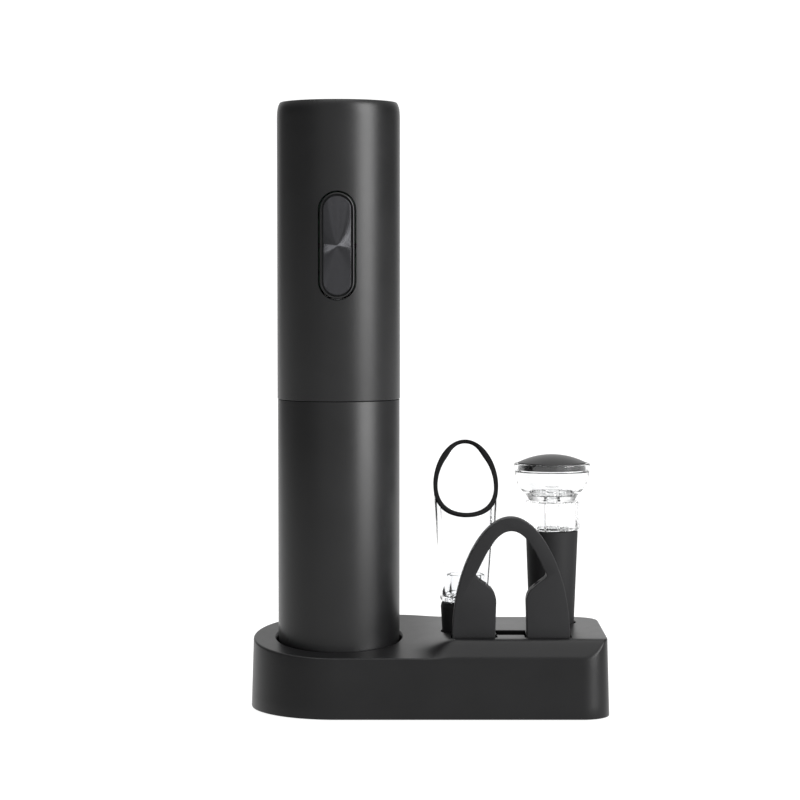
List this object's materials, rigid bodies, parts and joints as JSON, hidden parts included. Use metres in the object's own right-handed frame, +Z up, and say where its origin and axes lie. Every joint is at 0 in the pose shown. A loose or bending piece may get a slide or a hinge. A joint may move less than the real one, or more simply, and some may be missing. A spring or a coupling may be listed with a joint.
{
  "type": "electric wine opener",
  "caption": "Cylindrical electric corkscrew with a rocker button, standing in a base that also holds a foil cutter, a pourer and a vacuum stopper.",
  "frame": {"origin": "centre of the footprint on the surface the base stands on", "axes": "+X from the opener towards the accessories, +Y to the back, +Z up; the button faces -Y"},
  "size_m": [0.1332, 0.065, 0.2271],
  "materials": {
    "satin_black": "satin moulded, faint fine grain",
    "black_plastic": "satin moulded",
    "matte_black": "matt, fine spark-eroded texture",
    "clear_plastic": "clear polished",
    "black_rubber": "matt",
    "spun_steel": "spun about the button's centre",
    "polished_steel": "polished",
    "zinc_steel": "zinc plated",
    "brass": "turned",
    "white_nylon": "moulded",
    "board_green": "solder mask",
    "cell_blue": "shrink sleeve"
  },
  "bodies": {
    "base": {"base_shell": "black_plastic", "base_bottom_plate": "black_plastic", "base_screw_1": "zinc_steel", "base_screw_2": "zinc_steel", "base_screw_3": "zinc_steel", "base_screw_4": "zinc_steel", "rubber_foot_1": "black_rubber", "rubber_foot_2": "black_rubber", "rubber_foot_3": "black_rubber", "rubber_foot_4": "black_rubber", "recess_pad": "black_rubber"},
    "opener": {"upper_housing": "satin_black", "lower_housing": "satin_black", "rocker_pin": "polished_steel", "control_board": "board_green", "release_switch": "black_plastic", "drive_switch": "black_plastic", "battery_cell": "cell_blue", "battery_cradle": "white_nylon", "charge_socket": "zinc_steel", "drive_frame": "black_plastic", "motor_can": "zinc_steel", "motor_end_cap": "white_nylon", "ring_gear": "white_nylon", "gearbox_cover": "white_nylon", "output_bearing": "brass", "bottle_guide": "black_plastic", "mouth_ring": "satin_black"},
    "rocker": {"rocker_bezel": "satin_black", "rocker_plate": "spun_steel"},
    "output": {"output_carrier": "zinc_steel", "worm_hub": "black_plastic", "worm": "polished_steel"},
    "stage": {"stage_carrier": "brass"},
    "rotor": {"motor_rotor": "polished_steel"},
    "stopper": {"stopper_sleeve": "black_rubber", "stopper_body": "clear_plastic", "check_valve": "black_rubber"},
    "pump": {"pump_head": "clear_plastic", "pump_cap": "satin_black", "pump_rod": "clear_plastic", "piston_seal": "black_rubber"},
    "pourer": {"pourer_spout": "clear_plastic", "drip_lip": "satin_black", "pourer_tube": "clear_plastic", "pourer_plug": "black_rubber"},
    "foil_cutter": {"cutter_body": "matte_black"},
    "planet_out_1": {"output_planet_1": "white_nylon"},
    "planet_in_1": {"input_planet_1": "white_nylon"},
    "planet_out_2": {"output_planet_2": "white_nylon"},
    "planet_in_2": {"input_planet_2": "white_nylon"},
    "planet_out_3": {"output_planet_3": "white_nylon"},
    "planet_in_3": {"input_planet_3": "white_nylon"},
    "wheel_1": {"cutting_wheel_1": "polished_steel"},
    "wheel_2": {"cutting_wheel_2": "polished_steel"},
    "wheel_3": {"cutting_wheel_3": "polished_steel"},
    "wheel_4": {"cutting_wheel_4": "polished_steel"}
  },
  "joints": [
    {"name": "opener_lift", "type": "slide", "parent": "base", "child": "opener", "axis": [0, 0, 1], "range_m": [0, 0.06]},
    {"name": "rocker_tilt", "type": "hinge", "parent": "opener", "child": "rocker", "pos_m": [-0.03365, -0.0188, 0.1736], "axis": [1, 0, 0], "range_deg": [-3, 3], "stiffness_Nm_per_rad": 0.2},
    {"name": "worm_spin", "type": "hinge", "parent": "opener", "child": "output", "pos_m": [-0.03365, 0, 0.1], "axis": [0, 0, 1], "continuous": true},
    {"name": "stage_spin", "type": "hinge", "parent": "opener", "child": "stage", "pos_m": [-0.03365, 0, 0.112], "axis": [0, 0, 1], "continuous": true},
    {"name": "rotor_spin", "type": "hinge", "parent": "opener", "child": "rotor", "pos_m": [-0.03365, 0, 0.14], "axis": [0, 0, 1], "continuous": true},
    {"name": "output_planet_1_spin", "type": "hinge", "parent": "output", "child": "planet_out_1", "pos_m": [-0.0269, 0, 0.1066], "axis": [0, 0, 1], "continuous": true},
    {"name": "input_planet_1_spin", "type": "hinge", "parent": "stage", "child": "planet_in_1", "pos_m": [-0.0269, 0, 0.1146], "axis": [0, 0, 1], "continuous": true},
    {"name": "output_planet_2_spin", "type": "hinge", "parent": "output", "child": "planet_out_2", "pos_m": [-0.03703, 0.00585, 0.1066], "axis": [0, 0, 1], "continuous": true},
    {"name": "input_planet_2_spin", "type": "hinge", "parent": "stage", "child": "planet_in_2", "pos_m": [-0.03703, 0.00585, 0.1146], "axis": [0, 0, 1], "continuous": true},
    {"name": "output_planet_3_spin", "type": "hinge", "parent": "output", "child": "planet_out_3", "pos_m": [-0.03703, -0.00585, 0.1066], "axis": [0, 0, 1], "continuous": true},
    {"name": "input_planet_3_spin", "type": "hinge", "parent": "stage", "child": "planet_in_3", "pos_m": [-0.03703, -0.00585, 0.1146], "axis": [0, 0, 1], "continuous": true},
    {"name": "stopper_lift", "type": "slide", "parent": "base", "child": "stopper", "axis": [0, 0, 1], "range_m": [0, 0.06]},
    {"name": "pump_stroke", "type": "slide", "parent": "stopper", "child": "pump", "axis": [0, 0, 1], "range_m": [0, 0.012]},
    {"name": "pourer_lift", "type": "slide", "parent": "base", "child": "pourer", "axis": [0, 0, 1], "range_m": [0, 0.05]},
    {"name": "cutter_lift", "type": "slide", "parent": "base", "child": "foil_cutter", "axis": [0, 0, 1], "range_m": [0, 0.05]},
    {"name": "cutting_wheel_1_spin", "type": "hinge", "parent": "foil_cutter", "child": "wheel_1", "pos_m": [0.03889, -0.0189, 0.06394], "axis": [0, 1, 0], "continuous": true},
    {"name": "cutting_wheel_2_spin", "type": "hinge", "parent": "foil_cutter", "child": "wheel_2", "pos_m": [0.02181, -0.0189, 0.06394], "axis": [0, 1, 0], "continuous": true},
    {"name": "cutting_wheel_3_spin", "type": "hinge", "parent": "foil_cutter", "child": "wheel_3", "pos_m": [0.04074, -0.0189, 0.04807], "axis": [0, 1, 0], "continuous": true},
    {"name": "cutting_wheel_4_spin", "type": "hinge", "parent": "foil_cutter", "child": "wheel_4", "pos_m": [0.01996, -0.0189, 0.04807], "axis": [0, 1, 0], "continuous": true}
  ],
  "couplings": [
    {"joint": "stage_spin", "follows": "worm_spin", "ratio": 4.5},
    {"joint": "rotor_spin", "follows": "worm_spin", "ratio": 20.25},
    {"joint": "output_planet_1_spin", "follows": "worm_spin", "ratio": -2.8},
    {"joint": "input_planet_1_spin", "follows": "worm_spin", "ratio": -12.6},
    {"joint": "output_planet_2_spin", "follows": "worm_spin", "ratio": -2.8},
    {"joint": "input_planet_2_spin", "follows": "worm_spin", "ratio": -12.6},
    {"joint": "output_planet_3_spin", "follows": "worm_spin", "ratio": -2.8},
    {"joint": "input_planet_3_spin", "follows": "worm_spin", "ratio": -12.6}
  ]
}
